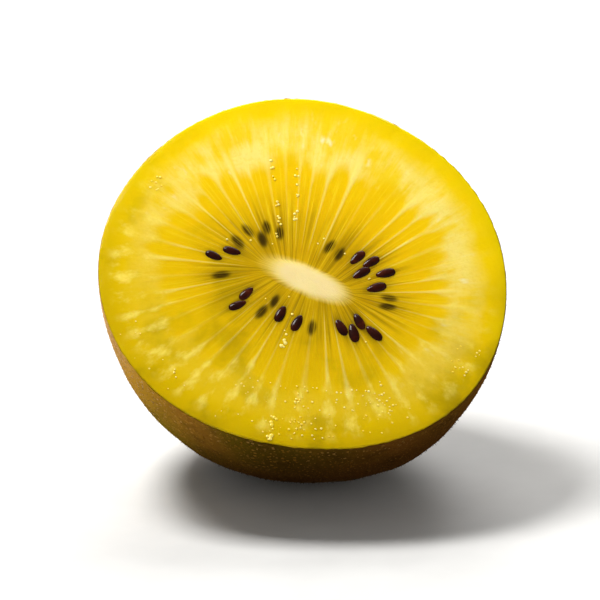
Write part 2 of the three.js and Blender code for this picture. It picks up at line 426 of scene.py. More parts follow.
def addSeeds():
    # an egg: cosine along it, a sine's power round it that narrows towards the core, flattened in height
    t = np.linspace(0.04, 0.96, seedShape["rings"])[:, None] * math.pi
    around = onceRound(seedShape["columns"])[None]
    along = -np.cos(t) / 2 + 0 * around
    girth = np.sin(t) ** seedShape["bluntness"] / 2 * (1 + 2 * seedShape["taper"] * along)
    shape = np.stack([
        along * seedShape["length"], girth * np.cos(around) * seedShape["width"],
        girth * np.sin(around) * seedShape["height"],
    ], -1)
    tops = np.random.default_rng(seedShape["proudSeed"]).uniform(*seedShape["proud"], len(seeds))
    eggs = []
    for (x, y, turn, size), top in zip(seeds[bareSeeds, :4], tops):
        egg = shape * size
        eggs.append(closedRings(np.stack([
            x + egg[..., 0] * math.cos(turn) - egg[..., 1] * math.sin(turn),
            y + egg[..., 0] * math.sin(turn) + egg[..., 1] * math.cos(turn),
            egg[..., 2] + top - size * seedShape["height"] / 2,
        ], -1)))
    vertices, faces = joinShells(eggs)
    surfacePiece("seeds", toSeat(vertices), faces, seedMaterial())


addSeeds()
print("seeds set in the flesh:", int(bareSeeds.sum()), "bare of", len(seeds))

locules = dict(
    count=46, seed=11,
    sways=((3, 0.03, 1), (7, 0.018, 2), (13, 0.01, 0)),  # uneven spacing: times round, radians, phase
    swayNoise=((9, 12, 0.01),),  # size, seed, radians
    wallStart=(0.04, 0.18), wallEnd=(0.6, 0.84), wallStrength=(0.1, 0.95), ridgeWidth=0.08,
    wallFade=(-0.2, 0.04), wallPeak=-0.12, peakWidth=0.1,  # counted from the wall's end
    pocketStart=(0.04, 0.15), pocketEnd=0.63, pocketSoftness=0.09, pocketRounding=0.16,
    pocketSpread=0.035, pocketNoise=((11, 13, 0.05),),
)
flesh = dict(
    columns=494, coreRings=20, faceRings=152, domeRings=8,
    underSkin=0.1, underRim=0.3, sunkAtStem=2.0, floor=0.35,  # how far inside the skin, and over the floor
    swells=((2.6, 3, 0.012), (7.0, 4, 0.04)),  # the cut's unevenness: size, seed, height
    dip=0.04, ridgeHeight=0.03, rimFall=0.05, rimStart=0.965, lineShare=0.34,
    socketDepth=0.04, socketWidth=1.5,  # round a bare seed, whose edge counts as 1
    # how far up the cut it is unripe and painted darker, how much that slants towards -X, how strongly, and
    # more at the rim
    unripeShadeSpan=0.8, unripeShadeAside=0.5, unripeShadeShare=0.5, unripeShadeRim=0.35,
    coreLong=6.3, coreWide=2.15, coreTurn=-30.0, coreRise=0.1,  # the cream part of the core
    coreBluntness=2.3, coreEdge=1.08, coreBlur=0.5,
    fanRadius=23.0, fanLength=7.0,  # the streaks' own space: as wide as the cut, and short along it
)
seedShade = dict(  # depth, steepness and power of the dark over a covered seed and round a bare one
    over=(0.93, 1.6, 5), beside=(0.7, 0.9, 3), halo=0.22, haloLength=1.6, haloWidth=1.5,
)


def loculeFan(angle, reach, fan):
    # a phase counts the locules round the core, a little unevenly, and is whole on each wall.
    # A ridge is a bell across the wall, faded in and out along it. A pocket fills the space between two
    # walls up to a soft round end, which lies further in near a wall by a square of the way across.
    rng = np.random.default_rng(locules["seed"])
    count = locules["count"]
    swayed = angle
    for times, sway, at in locules["sways"]:
        swayed = swayed + sway * np.sin(times * angle + at)
    phase = np.mod((swayed + rippled(fan, locules["swayNoise"])) * count / (2 * math.pi), count)
    offWall = np.abs(phase - np.round(phase))
    wallIndex = np.round(phase).astype(int) % count
    wallEnd = rng.uniform(*locules["wallEnd"], count)[wallIndex]
    strength = rng.uniform(*locules["wallStrength"], count)[wallIndex]
    wall = strength * smoothStep(*locules["wallStart"], reach)
    fadeStart, fadeEnd = locules["wallFade"]
    wall *= 1 - smoothStep(wallEnd + fadeStart, wallEnd + fadeEnd, reach)
    wall *= 0.8 + 0.4 * bump((reach - wallEnd - locules["wallPeak"]) / locules["peakWidth"])
    spread = rng.normal(0, locules["pocketSpread"], count)[np.floor(phase).astype(int) % count]
    pocketEnd = locules["pocketEnd"] + spread + rippled(fan, locules["pocketNoise"])
    pocketEnd = pocketEnd - locules["pocketRounding"] * strength * (1 - 2 * offWall) ** 2
    softness = locules["pocketSoftness"]
    pocket = smoothStep(*locules["pocketStart"], reach)
    pocket *= 1 - smoothStep(pocketEnd - softness, pocketEnd + softness, reach)
    return phase, wall, wall * bump(offWall / locules["ridgeWidth"]), pocket


def coreDistance(points):
    # 1 on the cream core's edge: a blunt ellipse, whose powers add up to 1 there. It counts more slowly
    # towards the core's left end, which is blurred.
    turn = math.radians(flesh["coreTurn"])
    dx, dy = points[..., 0] - fruit["coreX"], points[..., 1] - fruit["coreY"]
    along = (dx * math.cos(turn) + dy * math.sin(turn)) / flesh["coreLong"]
    across = (dy * math.cos(turn) - dx * math.sin(turn)) / flesh["coreWide"]
    power = flesh["coreBluntness"]
    distance = (np.abs(along) ** power + np.abs(across) ** power) ** (1 / power)
    blurred = flesh["coreBlur"] * smoothStep(0, -1, along)
    return flesh["coreEdge"] + (distance - flesh["coreEdge"]) * (1 - blurred)


fleshNoises = dict(  # on the fan: features per millimetre on each of its axes, detail and roughness
    streaks=((0.8, 0.8, 0.8), 4.0, 0.6),  # short, they fray the ends of the locules
    fibres=((2.4, 2.4, 0.35), 3.0, 0.5),  # fine and long
    rays=((0.72, 0.72, 0.105), 1.0, 0.5),  # broad, round the core
    clouds=((0.16, 0.16, 0.5), 3.0, 0.5),  # large pale patches
    strands=((0.9, 0.9, 0.5), 3.0, 0.6),  # what the pale patches are made of
    # the whiter flecks stand partly for fibres and partly for painted wet glints
    dashes=((0.6, 0.6, 1.1), 2.0, 0.5),  # the few whiter flecks
    lumps=((0.6, 0.6, 1.2), 4.0, 0.6),  # the pale lumps low on the cut
)


def fleshMaterial():
    # ripe kiwi flesh: watery cells, so light sinks in and comes back golden, under a wet cut that glints.
    # Pale walls fan out between golden locules, whiter fibres streak the outer flesh, and the core is cream.
    material, tree, place = newMaterial("ripeKiwiFlesh")
    fan = addNode(tree, "Attribute", attribute_name="fan")["Vector"]
    wound = addNode(tree, "SeparateXYZ", {"Vector": addNode(tree, "UVMap", uv_map="wound")["UV"]})
    reach = wound["Y"]
    offWall = addNode(tree, "Math", {0: wound["X"], 1: 0.5}, operation="PINGPONG")[0]
    pocket, wall, core, shade, unripeAndShade = [
        addNode(tree, "Attribute", attribute_name=key)["Fac"]
        for key in ("pocket", "wall", "core", "shade", "unripeAndShade")
    ]
    noise = {}
    for key, (stretch, detail, roughness) in fleshNoises.items():
        drawnOut = addNode(tree, "Mapping", {"Vector": fan, "Scale": stretch})["Vector"]
        noise[key] = addNode(tree, "TexNoise", {
            "Vector": drawnOut, "Scale": 1.0, "Detail": detail, "Roughness": roughness,
        })["Fac"]
    mottle = addNode(tree, "TexNoise", {"Vector": place, "Scale": perMillimetre(7), "Detail": 4.0})["Fac"]
    cells = addNode(tree, "TexNoise", {"Vector": place, "Scale": perMillimetre(0.45), "Detail": 2.0})["Fac"]

    # inside the locules: brown-gold round the core with dark rays, then gold with brighter fibres
    wavy = addNode(tree, "Math", {0: noise["clouds"], 1: 0.2, 2: -0.1}, **timesPlus)[0]
    wavy = addNode(tree, "Math", {0: reach, 1: wavy}, operation="ADD")[0]
    inner = addNode(tree, "ValToRGB", {"Fac": wavy}, (
        (0.0, "#DEB00C"), (0.08, "#D4A404"), (0.2, "#E0B204"), (0.34, "#F0C004"), (0.6, "#F8CC06"),
    ))["Color"]
    # darker rays near the core where it is less ripe and painted darker
    darkMost = addNode(tree, "MapRange", {0: unripeAndShade, 2: 0.5, 3: 0.35, 4: 1.0})[0]
    nearCore = addNode(tree, "MapRange", {0: reach, 1: 0.48, 2: 0.22, 4: darkMost}, **soft)[0]
    dark = addNode(tree, "MapRange", {0: noise["rays"], 1: 0.56, 2: 0.28, 4: nearCore}, **soft)[0]
    bright = addNode(tree, "MapRange", {0: noise["fibres"], 1: 0.52, 2: 0.7, 4: 0.52}, **soft)[0]
    for share, tint in ((dark, "#805C02"), (bright, "#FFDC24")):
        inner = addNode(tree, "Mix", {0: share, 6: inner, 7: tint}, data_type="RGBA")[2]

    # outside them: pale yellow clouds with a few whiter flecks, partly fibres and partly painted wet glints,
    # and a clean deep yellow under the skin
    outer = addNode(tree, "ValToRGB", {"Fac": wavy}, (
        (0.5, "#F6CC12"), (0.68, "#FAD424"), (0.8, "#FAD41C"), (0.9, "#F8D204"), (1.0, "#F0CC00"),
    ))["Color"]
    # fewer pale clouds where it is less ripe and painted darker
    ripe = addNode(tree, "MapRange", {0: unripeAndShade, 1: 0.5, 2: 0.0, 3: 0.06})[0]
    wavyEdge = addNode(tree, "Math", {0: noise["clouds"], 1: 0.3, 2: reach}, **timesPlus)[0]
    paleZone = addNode(tree, "MapRange", {0: wavyEdge, 1: 1.08, 2: 0.91, 4: ripe}, **soft)[0]
    milky = addNode(tree, "Math", {0: noise["strands"], 1: 0.52, 2: noise["clouds"]}, **timesPlus)[0]
    cloudy = addNode(tree, "MapRange", {0: milky, 1: 0.58, 2: 0.9, 4: paleZone}, **soft)[0]
    flecksAndGlints = addNode(tree, "MapRange", {0: noise["dashes"], 1: 0.62, 2: 0.84, 4: paleZone}, **soft)[0]
    juicy = addNode(tree, "MapRange", {0: cells, 1: 0.5, 2: 0.3, 4: 0.2})[0]
    for share, tint in ((cloudy, "#FFE87C"), (flecksAndGlints, "#FFF6C8"), (juicy, "#ECC400")):
        outer = addNode(tree, "Mix", {0: share, 6: outer, 7: tint}, data_type="RGBA")[2]

    # a pocket's end is frayed by the streaks, and near the core all is pocket
    ragged = addNode(tree, "Math", {0: noise["streaks"], 1: 0.7, 2: pocket}, **timesPlus)[0]
    inPocket = addNode(tree, "MapRange", {0: ragged, 1: 0.45, 2: 1.25}, **soft)[0]
    nearIn = addNode(tree, "MapRange", {0: reach, 1: 0.42, 2: 0.25}, **soft)[0]
    inPocket = addNode(tree, "Math", {0: inPocket, 1: nearIn}, operation="MAXIMUM")[0]
    body = addNode(tree, "Mix", {0: inPocket, 6: outer, 7: inner}, data_type="RGBA")[2]

    # the walls: a pale line where the phase is whole, a share of the locule's width that grows outwards
    # by the square of the reach
    squared = addNode(tree, "Math", {0: reach, 1: reach}, operation="MULTIPLY")[0]
    lineEdge = addNode(tree, "Math", {0: squared, 1: flesh["lineShare"], 2: 0.07}, **timesPlus)[0]
    line = addNode(tree, "MapRange", {0: offWall, 1: lineEdge, 2: 0.0, 4: wall}, **soft)[0]

    # greener patches and pale lumps where it is less ripe and painted darker, the lumps mostly in line with
    # the walls
    greenMost = addNode(tree, "Math", {0: unripeAndShade, 1: 0.95}, operation="MULTIPLY")[0]
    green = addNode(tree, "MapRange", {0: mottle, 1: 0.48, 2: 0.7, 4: greenMost}, **soft)[0]
    lumpMost = addNode(tree, "MapRange", {0: unripeAndShade, 1: 0.1, 2: 0.5, 3: 0.1, 4: 0.8})[0]
    outside = addNode(tree, "MapRange", {0: inPocket, 1: 1.0, 2: 0.3, 4: lumpMost})[0]
    inRim = addNode(tree, "MapRange", {0: reach, 1: 0.98, 2: 0.86, 4: outside}, **soft)[0]
    onWall = addNode(tree, "MapRange", {0: offWall, 1: 0.42, 2: 0.0, 4: 0.16}, **soft)[0]
    lumps = addNode(tree, "Math", {0: noise["lumps"], 1: onWall}, operation="ADD")[0]
    lumpy = addNode(tree, "MapRange", {0: lumps, 1: 0.52, 2: 0.92, 4: inRim}, **soft)[0]

    # the cream core with its frayed edge, and the dark of the seeds, veiled by the fibres over it
    frayed = addNode(tree, "Math", {0: noise["rays"], 1: -0.17, 2: core}, **timesPlus)[0]
    creamy = addNode(tree, "MapRange", {0: frayed, 1: 1.03, 2: 0.66}, **soft)[0]
    palest = addNode(tree, "MapRange", {0: frayed, 1: 0.88, 2: 0.5}, **soft)[0]
    streaky = addNode(tree, "MapRange", {0: noise["fibres"], 1: 0.5, 2: 0.72, 3: 1.0, 4: 0.5})[0]
    veiled = addNode(tree, "Math", {0: shade, 1: streaky}, operation="MULTIPLY")[0]
    # among these, a darker yellow where it is less ripe, which is also painted shade on the lower side
    for share, tint in (
        (line, "#FFE878"), (unripeAndShade, "#CAA800"), (green, "#947E00"), (lumpy, "#FFEC70"),
        (creamy, "#F4DA70"), (palest, "#FCE4A0"), (veiled, "#2C1C02"),
    ):
        body = addNode(tree, "Mix", {0: share, 6: body, 7: tint}, data_type="RGBA")[2]

    height = addNode(tree, "Math", {0: noise["fibres"], 1: 0.6, 2: cells}, **timesPlus)[0]
    relief = addNode(tree, "Bump", {"Height": height, "Strength": 0.35, "Distance": 0.0001})["Normal"]
    gloss = addNode(tree, "MapRange", {0: noise["streaks"], 1: 0.3, 2: 0.7, 3: 0.1, 4: 0.18})[0]
    shader = addNode(tree, "BsdfPrincipled", {
        "Base Color": body, "Roughness": gloss, "Normal": relief, "IOR": 1.34, "Specular IOR Level": 0.2,
        "Subsurface Weight": 0.3, "Subsurface Radius": (0.002, 0.0012, 0.0002), "Subsurface Scale": 1.0,
        "Coat Weight": 0.1, "Coat Roughness": 0.04, "Coat IOR": 1.33,
    })
    addNode(tree, "OutputMaterial", {"Surface": shader["BSDF"]})
    return material


def shadeOf(distances, depth, steepness, power):
    # depth times e to the minus steepness times the distance to a power
    return depth * np.exp(-steepness * distances ** power)


def addFlesh():
    # the cut, from the core's middle out to the skin, then down inside the skin to the stem end.
    # Pockets dip between their walls, seeds lie in shallow sockets, and the rim falls away.
    angle = onceRound(flesh["columns"])[None]
    inside = np.linspace(0, 1, flesh["coreRings"] + 1)[1:-1, None]
    outward = np.linspace(0, 1, flesh["faceRings"])[:, None]
    across = np.cos(np.linspace(0, math.pi / 2, flesh["domeRings"] + 2)[1:-1])[:, None]
    coreAngle, share = np.broadcast_arrays(angle, inside)
    coreMiddle = corePoint(coreAngle, share) * (1, 1, flesh["coreRise"] / fruit["coreRise"])
    faceAngle, reach = np.broadcast_arrays(angle, outward)
    domeAngle, domeShare = np.broadcast_arrays(angle, across)

    angles = np.concatenate([coreAngle, faceAngle, domeAngle])
    reaches = np.concatenate([0 * share, reach, 0 * domeShare + 1])
    along = flesh["fanLength"] * np.concatenate([share - 1, reach, 2 - domeShare])
    fan = polar(flesh["fanRadius"], angles, along)
    phase, wall, ridge, pocket = loculeFan(angles, reaches, fan)

    sunk = 2 * flesh["underSkin"] + flesh["sunkAtStem"] * (1 - domeShare ** 2)
    face = facePoint(faceAngle, reach, flesh["underSkin"])
    points = np.concatenate([coreMiddle, face, domePoint(domeAngle, domeShare, sunk, -flesh["underRim"])])
    onFace = np.arange(len(points))[:, None] < len(share) + len(reach)
    distances = seedDistances(points)
    sockets = np.minimum(bump(distances[..., bareSeeds] / flesh["socketWidth"]).sum(-1), 1)
    height = rippled(points, flesh["swells"]) + flesh["ridgeHeight"] * ridge
    height -= flesh["dip"] * pocket * (1 - ridge) + flesh["socketDepth"] * sockets
    height -= flesh["rimFall"] * smoothStep(flesh["rimStart"], 1.0, reaches)
    points[..., 2] += height * onFace

    over = shadeOf(distances[..., ~bareSeeds], *seedShade["over"])
    beside = shadeOf(distances[..., bareSeeds], *seedShade["beside"])
    halo = seedDistances(points, seedShade["haloLength"]) / seedShade["haloWidth"]
    clear = np.prod(1 - over, -1) * np.prod(1 - seedShade["halo"] * bump(halo), -1) * np.prod(1 - beside, -1)
    # less ripe towards -Y and -X, which is also painted shade on that lower side, and most so near the skin.
    # Off the face, nothing counts as core.
    upwards = (points[..., 1] + flesh["unripeShadeAside"] * points[..., 0]) / fruit["faceRadius"]
    unripeAndShade = smoothStep(flesh["unripeShadeSpan"], -flesh["unripeShadeSpan"], upwards)
    unripeAndShade = unripeAndShade * (flesh["unripeShadeShare"] + flesh["unripeShadeRim"] * smoothStep(0.8, 1.0, reaches))
    marks = {
        "fan": fan, "wall": wall, "pocket": pocket, "unripeAndShade": unripeAndShade,
        "core": coreDistance(points) + 9 * (1 - onFace), "shade": (1 - clear) * onFace,
    }
    marks = {key: ringMarks(values) for key, values in marks.items()}
    wound = ringMarks(np.stack([phase, reaches], -1))
    vertices, faces = closedRings(points)
    piece = surfacePiece(
        "cutFlesh", toSeat(vertices, flesh["floor"]), faces, fleshMaterial(),
        marks, (wound, locules["count"]),
    )
    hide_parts("fruit_half")


addFlesh()
print("flesh cut and shaded")

juice = dict(
    height=0.25, lift=0.02, sides=8, rings=4, seed=77,
    smallest=0.45,  # share of the largest radius
    offSeeds=1.15,  # no drop lies nearer to a bare seed, whose edge counts as 1
    groups=(  # drops, their largest radius, from angle, to angle, from reach, to reach
        (14, 0.24, 98, 100, 0.18, 0.62), (12, 0.22, 87, 89, 0.22, 0.6), (10, 0.3, 250, 252, 0.22, 0.38),
        (14, 0.28, 256, 258, 0.82, 0.98), (24, 0.17, 262, 272, 0.68, 0.92), (20, 0.18, 286, 296, 0.62, 0.84),
        (80, 0.14, 240, 300, 0.6, 0.95), (12, 0.15, 195, 235, 0.8, 0.96), (16, 0.18, 318, 330, 0.76, 0.92),
        (8, 0.2, 140, 146, 0.8, 0.9),
    ),
    bySeeds=18, bySeedsLargest=0.18, bySeedsAway=(0.5, 0.8),  # more of them near seeds, in seed lengths
)


def juiceMaterial():
    # kiwi juice, a clear syrup, drawn as opaque pale gold beads: their pale gold is a painted glint, and
    # each has one soft glint of its own
    material, tree, place = newMaterial("juicePaintedGlint")
    tint = addNode(tree, "TexNoise", {"Vector": place, "Scale": perMillimetre(6)})["Fac"]
    colour = addNode(tree, "ValToRGB", {"Fac": tint}, ((0.35, "#FFE040"), (0.65, "#FFF08C")))["Color"]
    shader = addNode(tree, "BsdfPrincipled", {
        "Base Color": colour, "Roughness": 0.25, "IOR": 1.36, "Specular IOR Level": 0.6,
    })
    addNode(tree, "OutputMaterial", {"Surface": shader["BSDF"]})
    return material


def addJuice():
    # caps with a shallow underside: a cap's height times 1 - share squared. None lies on a bare seed.
    rng = np.random.default_rng(juice["seed"])
    spots = [np.stack([rng.uniform(a0, a1, count), rng.uniform(r0, r1, count), np.full(count, largest)], -1)
             for count, largest, a0, a1, r0, r1 in juice["groups"]]
    angle, reach, largest = np.concatenate(spots).T
    middle = facePoint(np.radians(angle), reach)[:, :2]
    near = seeds[rng.integers(0, len(seeds), juice["bySeeds"])]
    aside = rng.uniform(0, 2 * math.pi, juice["bySeeds"])
    away = seedShape["length"] * rng.uniform(*juice["bySeedsAway"], juice["bySeeds"])
    beside = near[:, :2] + np.stack([away * np.cos(aside), away * np.sin(aside)], -1)
    middle = np.concatenate([middle, beside])
    radius = np.concatenate([largest, np.full(len(beside), juice["bySeedsLargest"])])
    radius = radius * (juice["smallest"] + (1 - juice["smallest"]) * rng.random(len(middle)))
    clear = (seedDistances(middle)[:, bareSeeds] > juice["offSeeds"]).all(1)
    middle, radius = middle[clear], radius[clear]
    around = onceRound(juice["sides"])
    share = np.concatenate([np.linspace(0.25, 1, juice["rings"]), [0.6]])
    rise = juice["height"] * (1 - share ** 2) * np.array([1] * juice["rings"] + [-0.4])
    drops = []
    for (x, y), size in zip(middle, radius):
        rings = np.stack(np.broadcast_arrays(
            x + size * share[:, None] * np.cos(around), y + size * share[:, None] * np.sin(around),
            size * rise[:, None] + juice["lift"],
        ), -1)
        vertices, faces = closedRings(rings)
        vertices[-2, 2] = juice["lift"] + size * juice["height"]
        drops.append((vertices, faces))
    vertices, faces = joinShells(drops)
    surfacePiece("juiceDrops", toSeat(vertices), faces, juiceMaterial())
    print("juice drops:", len(middle))


addJuice()

skin = dict(
    columns=440, stemRings=60, sideRings=100, innerRings=8, thickness=0.09, sunkAtStem=3.0, innerFloor=0.13,
    swells=((17, 5, 0.15), (6, 6, 0.06), (1.9, 7, 0.02)), deepest=-0.25,  # size, seed, height
    puckers=17, puckerDepth=0.16, puckerAt=10.3, puckerWidth=1.5, puckerSway=1.5,
    raggedness=0.09, nicks=((1.2, 8), (6, 9)),  # in the cut edge: height, then sizes and seeds
    edgeDrop=0.1,  # how far the cut edge stays under the cut
    # painted light: how much paler it is towards -X, on the far left and at the far back, and from what
    # share out
    paleAside=0.14, paleLeft=(0.5, 0.45), paleBack=(0.34, 0.55),
)


def skinSurface(angle, share, sunk=0.0):
    # the dome, gently uneven, with puckers that fan out round the stem end
    points = domePoint(angle, share, sunk)
    folds = np.cos(skin["puckers"] * angle + skin["puckerSway"] * np.sin(2 * angle))
    atStem = bump((share * fruit["faceRadius"] - skin["puckerAt"]) / skin["puckerWidth"])
    swell = rippled(points, skin["swells"]) + skin["puckerDepth"] * folds * atStem
    away = unit(points + np.array([0, 0, 8.0]))  # from a point 8 mm under the cut
    return points + away * (np.maximum(swell, skin["deepest"]) * smoothStep(1.0, 0.95, share))[..., None]


def litShare(points):
    # how much painted light the skin takes, and painted shade where this is low: its height over the floor
    # as a share of the half's, a little more towards -X, and much more on the far left and the far back
    height = points[..., 1] * math.sin(lean) + points[..., 2] * math.cos(lean)
    height = (height + restReach) / (2 * restReach)
    aside = -points[..., 0] / fruit["faceRadius"]
    behind = points[..., 1] / fruit["faceRadius"]
    (left, leftFrom), (back, backFrom) = skin["paleLeft"], skin["paleBack"]
    farLeft, farBack = left * smoothStep(leftFrom, 1.0, aside), back * smoothStep(backFrom, 1.0, behind)
    return height + skin["paleAside"] * aside + farLeft + farBack


def skinMaterial():
    # golden kiwi skin: thin leathery peel, olive to russet, with scurfy pores. Painted light makes it tan
    # where it is high, to the left and at the back, with a painted pale highlight on top, and painted shade
    # darkens its underside. It is dry, so it doesn't shine and has only a faint sheen.
    material, tree, place = newMaterial("kiwiSkin")
    patches, blotches, scurf = [
        addNode(tree, "TexNoise", {
            "Vector": place, "Scale": perMillimetre(size), "Detail": detail, "Roughness": roughness,
        })["Fac"] for size, detail, roughness in ((24, 3.0, 0.5), (5, 5.0, 0.65), (0.7, 4.0, 0.6))
    ]
    cell = addNode(tree, "TexVoronoi", {"Vector": place, "Scale": perMillimetre(0.8)})
    draw = addNode(tree, "SeparateColor", {"Color": cell["Color"]})[0]
    radius = addNode(tree, "Math", {0: draw, 1: 0.22, 2: 0.05}, **timesPlus)[0]
    pore = addNode(tree, "Math", {0: radius, 1: cell["Distance"]}, operation="SUBTRACT")[0]
    pore = addNode(tree, "MapRange", {0: pore, 1: -0.07, 2: 0.07, 4: 0.6}, **soft)[0]
    lit, stemEnd, cut = [
        addNode(tree, "Attribute", attribute_name=key)["Fac"] for key in ("height", "stemEnd", "cut")
    ]
    lit = addNode(tree, "Math", {0: patches, 1: 0.3, 2: lit}, **timesPlus)[0]

    dull = addNode(tree, "MapRange", {0: blotches, 1: 0.5, 2: 0.7, 4: 0.6}, **soft)[0]
    # painted light, a painted highlight and painted shade, all set by the lit share
    paintedLight = addNode(tree, "MapRange", {0: lit, 1: 0.6, 2: 1.04, 4: 0.85}, **soft)[0]
    paintedHighlight = addNode(tree, "MapRange", {0: lit, 1: 0.9, 2: 1.35, 4: 0.85}, **soft)[0]
    dust = addNode(tree, "MapRange", {0: scurf, 1: 0.5, 2: 0.7, 4: 0.5}, **soft)[0]
    shaded = addNode(tree, "MapRange", {0: lit, 1: 0.66, 2: 0.2, 4: 0.96}, **soft)[0]
    colour = addNode(tree, "ValToRGB", {"Fac": patches}, (
        (0.36, "#665A0E"), (0.46, "#725E10"), (0.56, "#845E1A"), (0.68, "#905A22"),
    ))["Color"]
    for share, tint in (
        (dull, "#4A380A"), (paintedLight, "#C2902C"), (paintedHighlight, "#E4B07C"), (dust, "#A67A28"),
        (stemEnd, "#A98D56"), (pore, "#C08E44"), (shaded, "#1E0A02"), (cut, "#A89010"),
    ):
        colour = addNode(tree, "Mix", {0: share, 6: colour, 7: tint}, data_type="RGBA")[2]
    rough = addNode(tree, "Math", {0: scurf, 1: 0.7, 2: pore}, **timesPlus)[0]
    relief = addNode(tree, "Bump", {"Height": rough, "Strength": 0.5, "Distance": 0.00008})["Normal"]
    shader = addNode(tree, "BsdfPrincipled", {
        "Base Color": colour, "Normal": relief, "Roughness": 0.6, "IOR": 1.42, "Specular IOR Level": 0.0,
        "Subsurface Weight": 0.06, "Subsurface Radius": (0.0008, 0.0005, 0.0002), "Subsurface Scale": 1.0,
        "Sheen Weight": 0.06, "Sheen Roughness": 0.4, "Sheen Tint": "#F0A860",
    })
    addNode(tree, "OutputMaterial", {"Surface": shader["BSDF"]})
    return material


def addSkin():
    # a thin closed shell: outside from the stem end up to the cut, over the cut edge, and back down inside
    angle = onceRound(skin["columns"])[None]
    stemEnd, sides = np.linspace(0, 30, skin["stemRings"]), np.linspace(30, 90, skin["sideRings"])
    rise = np.concatenate([stemEnd[1:], sides[1:]])
    fall = np.linspace(90, 0, skin["innerRings"] + 1)[:-1]
    outerAngle, outerShare = np.broadcast_arrays(angle, np.sin(np.radians(rise))[:, None])
    innerAngle, innerShare = np.broadcast_arrays(angle, np.sin(np.radians(fall))[:, None])
    outer = skinSurface(outerAngle, outerShare)
    sunk = skin["thickness"] + skin["sunkAtStem"] * (1 - innerShare ** 2)
    inner = skinSurface(innerAngle, innerShare, sunk)
    fine, coarse = [ripple(outer[-1], size, seed) for size, seed in skin["nicks"]]
    outer[-1, :, 2] += skin["raggedness"] * (fine - 2 * np.abs(coarse)) - skin["edgeDrop"]
    inner[0, :, 2] = outer[-1, :, 2] - 0.03
    share = np.concatenate([outerShare, innerShare])
    isInner = (np.arange(len(share))[:, None] >= len(outer)) + 0 * share
    vertices, faces = closedRings(np.concatenate([outer, inner]))
    floors = ringMarks(skin["innerFloor"] * isInner)
    marks = {
        "stemEnd": ringMarks(0.5 * smoothStep(0.7, 0.4, share)), "height": litShare(vertices),
        "cut": ringMarks(isInner),
    }
    surfacePiece("skin", toSeat(vertices, floors), faces, skinMaterial(), marks)


addSkin()
print("skin drawn over the dome")

scatter = dict(
    fromRim=0.012, turnSpread=0.01,  # radians
    shareSpread=0.008,  # of the radius
    clearance=0.1,  # over the floor
)
pores = dict(
    count=6400, radius=(0.08, 0.27), height=(0.015, 0.05), sides=6, seed=31,
    fewLarge=1.6,  # above 1, small ones outnumber large ones
    lowest=0.39,  # radians up the dome from the stem end, outside the calyx
)


def scatterOnSkin(count, lowest, rng):
    # golden-angle turns, at shares spaced so that each ring's area is the same, each moved a little.
    # For each place it gives the point, the outward normal and two directions along the skin.
    slope = np.linspace(lowest, math.pi / 2 - scatter["fromRim"], 400)
    rate = np.sin(slope) * np.hypot(fruit["faceRadius"] * np.cos(slope), fruit["domeDepth"] * np.sin(slope))
    covered = np.cumsum(rate)
    share = np.sin(np.interp((np.arange(count) + 0.5) / count, covered / covered[-1], slope))
    turned = rng.normal(0, scatter["turnSpread"], count) / np.maximum(share, 0.2)
    angle = np.arange(count) * math.pi * (3 - math.sqrt(5)) + turned
    moved = rng.normal(0, scatter["shareSpread"], count) * np.sqrt(1 - share ** 2)
    share = np.clip(share + moved, math.sin(lowest), 0.9995)
    middle = skinSurface(angle, share)
    normal = unit(middle / np.array([fruit["faceRadius"], fruit["faceRadius"], fruit["domeDepth"]]) ** 2)
    side = unit(np.cross(normal, [0.31, 0.17, 0.93]))  # square to the normal and to any one direction
    return middle[:, None], normal[:, None], side[:, None], np.cross(normal, side)[:, None]


def offFloor(corners):
    # only the shapes that stand clear of the floor
    return corners[toSeat(corners)[..., 2].min(1) > scatter["clearance"] / 1000]


def addSkinTones(tree, colour, roughness):
    # what stands on the skin is a dry matt surface, paler than the skin where that is painted lit, and
    # darkened below by painted shade
    lit = addNode(tree, "Attribute", attribute_name="height")["Fac"]
    for start, full, most, tint in ((0.45, 1.0, 0.9, "#E8C48E"), (0.5, 0.12, 0.85, "#3A1E06")):
        share = addNode(tree, "MapRange", {0: lit, 1: start, 2: full, 4: most})[0]
        colour = addNode(tree, "Mix", {0: share, 6: colour, 7: tint}, data_type="RGBA")[2]
    shader = addNode(tree, "BsdfPrincipled", {
        "Base Color": colour, "Roughness": roughness, "IOR": 1.45, "Specular IOR Level": 0.0,
    })
    addNode(tree, "OutputMaterial", {"Surface": shader["BSDF"]})


def poreMaterial():
    # corky pores: raised, dry and tan, they catch the light as pale dots
    material, tree, place = newMaterial("corkyPores")
    tint = addNode(tree, "TexNoise", {"Vector": place, "Scale": perMillimetre(2.5), "Detail": 3.0})["Fac"]
    colour = addNode(tree, "ValToRGB", {"Fac": tint}, (
        (0.35, "#94691A"), (0.5, "#B0802E"), (0.65, "#C69A54"),
    ))["Color"]
    addSkinTones(tree, colour, 0.65)
    return material


